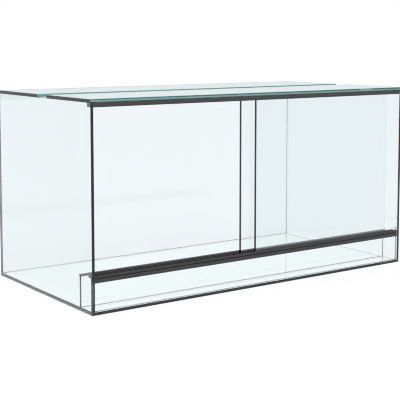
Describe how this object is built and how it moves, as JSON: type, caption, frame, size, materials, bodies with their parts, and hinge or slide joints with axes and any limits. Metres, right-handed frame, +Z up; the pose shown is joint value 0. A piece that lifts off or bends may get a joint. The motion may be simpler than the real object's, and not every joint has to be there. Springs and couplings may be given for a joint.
{
  "type": "reptile terrarium",
  "caption": "Frameless glass terrarium with two sliding, lift-out front doors in black tracks, low glass risers inside the front and an open ventilation slot across the top.",
  "frame": {"origin": "middle of the underside, on the surface that the tank stands on", "axes": "+X along the width, to the right as seen from the doors; +Y from the doors to the back pane; +Z up"},
  "size_m": [0.8, 0.4, 0.4],
  "materials": {
    "glass": "clear float glass with a green-blue tint in its depth and ground edges",
    "silicone": "clear sealant, cured",
    "track": "black extruded plastic, satin"
  },
  "bodies": {
    "tank": {"floor_pane": "glass", "left_pane": "glass", "right_pane": "glass", "back_pane": "glass", "top_front_pane": "glass", "top_rear_pane": "glass", "front_riser": "glass", "inner_riser": "glass", "riser_cap": "track", "lower_track": "track", "upper_track": "track", "floor_left_seam": "silicone", "floor_right_seam": "silicone", "back_foot_seam": "silicone", "back_left_seam": "silicone", "back_right_seam": "silicone", "riser_foot_seam": "silicone", "riser_left_seam": "silicone", "riser_right_seam": "silicone", "inner_foot_seam": "silicone", "inner_left_seam": "silicone", "inner_right_seam": "silicone", "top_front_left_seam": "silicone", "top_front_right_seam": "silicone", "top_rear_left_seam": "silicone", "top_rear_right_seam": "silicone", "top_rear_back_seam": "silicone", "lower_track_bed": "silicone", "upper_track_bed": "silicone"},
    "front_door": {"front_door": "glass"},
    "rear_door": {"rear_door": "glass"}
  },
  "joints": [
    {"name": "front_door_slide", "type": "slide", "parent": "tank", "child": "front_door", "axis": [1, 0, 0], "range_m": [-0.3784, 0]},
    {"name": "rear_door_slide", "type": "slide", "parent": "tank", "child": "rear_door", "axis": [1, 0, 0], "range_m": [-0.3459, 0.0325]}
  ]
}
